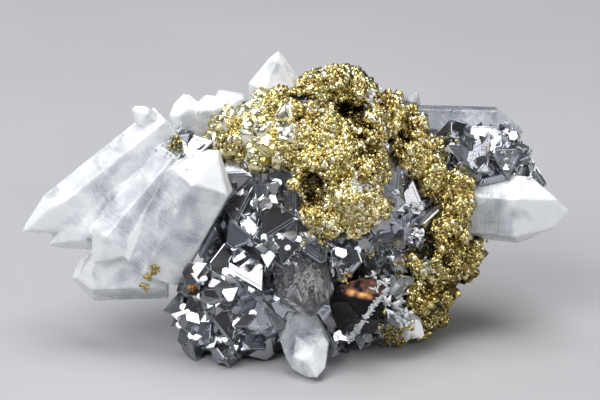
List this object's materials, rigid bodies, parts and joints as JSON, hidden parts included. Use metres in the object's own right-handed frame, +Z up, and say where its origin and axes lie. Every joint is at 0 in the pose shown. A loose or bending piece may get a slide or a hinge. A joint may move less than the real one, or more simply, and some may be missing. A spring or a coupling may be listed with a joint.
{
  "type": "chalcopyrite specimen",
  "caption": "Hand-sized mineral specimen: brassy chalcopyrite crust over dark sphalerite crystals, with milky and clear quartz points on its ends and foot.",
  "frame": {"origin": "middle of the object's footprint, on the surface that the specimen rests on", "axes": "+X to the right as seen from the show face, towards the single quartz point; +Y away from the show face; +Z up"},
  "size_m": [0.1086, 0.0588, 0.056],
  "materials": {
    "chalcopyrite": "brassy metallic crystal crust with dark brown pits and a little orange tarnish",
    "sphalerite": "near-black with a bright resinous to metallic lustre on flat faces",
    "sphalerite_brown": "glossy, black-brown with a see-through orange-red zone",
    "quartz": "milky white to greyish, glassy, with striated sides",
    "clear_quartz": "clear and glassy with a few inner cracks"
  },
  "bodies": {
    "root": {"sphalerite_matrix": "sphalerite", "chalcopyrite_crust": "chalcopyrite", "sphalerite_brown_crystal": "sphalerite_brown", "quartz_cluster_left": "quartz", "quartz_point_right": "quartz", "quartz_slab_back_right": "quartz", "quartz_point_top": "quartz", "quartz_tip_back": "quartz", "quartz_point_front": "quartz", "quartz_tip_lower_right": "quartz", "quartz_blade_front": "quartz", "quartz_clear_front": "clear_quartz", "quartz_clear_lower_right": "clear_quartz"}
  },
  "joints": []
}
